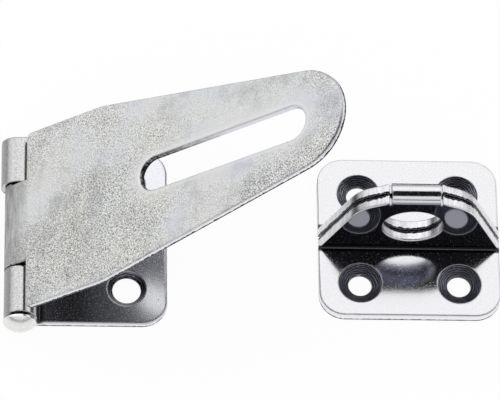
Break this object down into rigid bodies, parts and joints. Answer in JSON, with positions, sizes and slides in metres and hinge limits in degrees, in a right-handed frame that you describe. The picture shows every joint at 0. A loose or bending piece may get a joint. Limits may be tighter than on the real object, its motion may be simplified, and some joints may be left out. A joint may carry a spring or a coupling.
{
  "type": "padlock hasp",
  "caption": "Hinged hasp standing half open beside its staple: a slotted strap on a riveted pin, a screwed leaf and a folded plate with an eye for a padlock.",
  "frame": {"origin": "on the fixed leaf's back face, midway between its two outer screw holes", "axes": "+X from the hinge towards the staple, +Y along the hinge pin away from its domed head, +Z away from the surface that the leaf and the staple are screwed to"},
  "size_m": [0.1059, 0.0452, 0.0598],
  "materials": {
    "strap_zinc": "satin zinc plate",
    "leaf_zinc": "bright zinc plate",
    "pin_zinc": "bright zinc plate",
    "staple_zinc": "bright zinc plate"
  },
  "bodies": {
    "leaf": {"hinge_leaf": "leaf_zinc", "staple_plate": "staple_zinc"},
    "strap": {"hasp_strap": "strap_zinc", "hinge_pin": "pin_zinc"}
  },
  "joints": [
    {"name": "strap_swing", "type": "hinge", "parent": "leaf", "child": "strap", "pos_m": [-0.0224, 0, 0.0035], "axis": [0, -1, 0], "range_deg": [-25, 141]}
  ]
}
